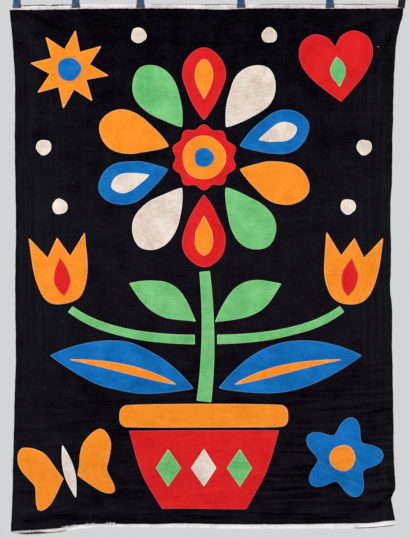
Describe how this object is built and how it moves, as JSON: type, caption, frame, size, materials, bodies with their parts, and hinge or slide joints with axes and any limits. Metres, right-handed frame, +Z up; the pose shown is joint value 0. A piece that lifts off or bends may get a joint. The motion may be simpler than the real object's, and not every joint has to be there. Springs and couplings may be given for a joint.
{
  "type": "applique wall hanging with hanging clips",
  "caption": "Black cotton wall hanging with bright applique shapes of a potted flowering plant, white tapes at top and foot, hung from flat spring clips.",
  "frame": {"origin": "the middle of the hang line, which runs along the closed tops of the clips", "axes": "+Z up along the hanging's height, +X to the viewer's right, -Y out of the face of the cloth"},
  "size_m": [1.343, 0.0294, 1.847],
  "materials": {
    "cotton_black": "matte woven cotton",
    "cotton_red": "matte woven cotton",
    "cotton_orange": "matte woven cotton",
    "cotton_blue": "matte woven cotton",
    "cotton_green": "matte woven cotton",
    "cotton_white": "matte woven cotton",
    "tape_white": "matte woven cotton",
    "clip_blue": "satin",
    "clip_black": "satin"
  },
  "bodies": {
    "root": {"blossom": "cotton_blue", "blossom_disc": "cotton_orange", "butterfly_body": "cotton_white", "clip_1": "clip_blue", "clip_2": "clip_blue", "clip_3": "clip_blue", "clip_4": "clip_blue", "clip_5": "clip_blue", "clip_6": "clip_black", "dot_1": "cotton_white", "dot_2": "cotton_white", "dot_3": "cotton_white", "dot_4": "cotton_white", "dot_5": "cotton_white", "dot_6": "cotton_white", "flower_disc": "cotton_orange", "flower_dot": "cotton_blue", "flower_scallop": "cotton_red", "foot_tape": "tape_white", "ground_cloth": "cotton_black", "heart": "cotton_red", "heart_drop": "cotton_green", "leaf_left": "cotton_blue", "leaf_rib_left": "cotton_orange", "leaf_rib_right": "cotton_orange", "leaf_right": "cotton_blue", "lozenge_left": "cotton_green", "lozenge_middle": "cotton_white", "lozenge_right": "cotton_green", "petal_01": "cotton_red", "petal_02": "cotton_white", "petal_03": "cotton_blue", "petal_04": "cotton_orange", "petal_05": "cotton_green", "petal_06": "cotton_red", "petal_07": "cotton_white", "petal_08": "cotton_blue", "petal_09": "cotton_orange", "petal_10": "cotton_green", "petal_drop_1": "cotton_orange", "petal_drop_2": "cotton_white", "petal_drop_3": "cotton_orange", "petal_drop_4": "cotton_white", "pot_body": "cotton_red", "pot_rim": "cotton_orange", "side_stem_left": "cotton_green", "side_stem_right": "cotton_green", "small_leaf_left": "cotton_green", "small_leaf_right": "cotton_green", "star": "cotton_orange", "star_disc": "cotton_blue", "stem": "cotton_green", "top_tape": "tape_white", "tulip_drop_left": "cotton_red", "tulip_drop_right": "cotton_red", "tulip_left": "cotton_orange", "tulip_right": "cotton_orange", "wing_left": "cotton_orange", "wing_right": "cotton_orange"}
  },
  "joints": []
}
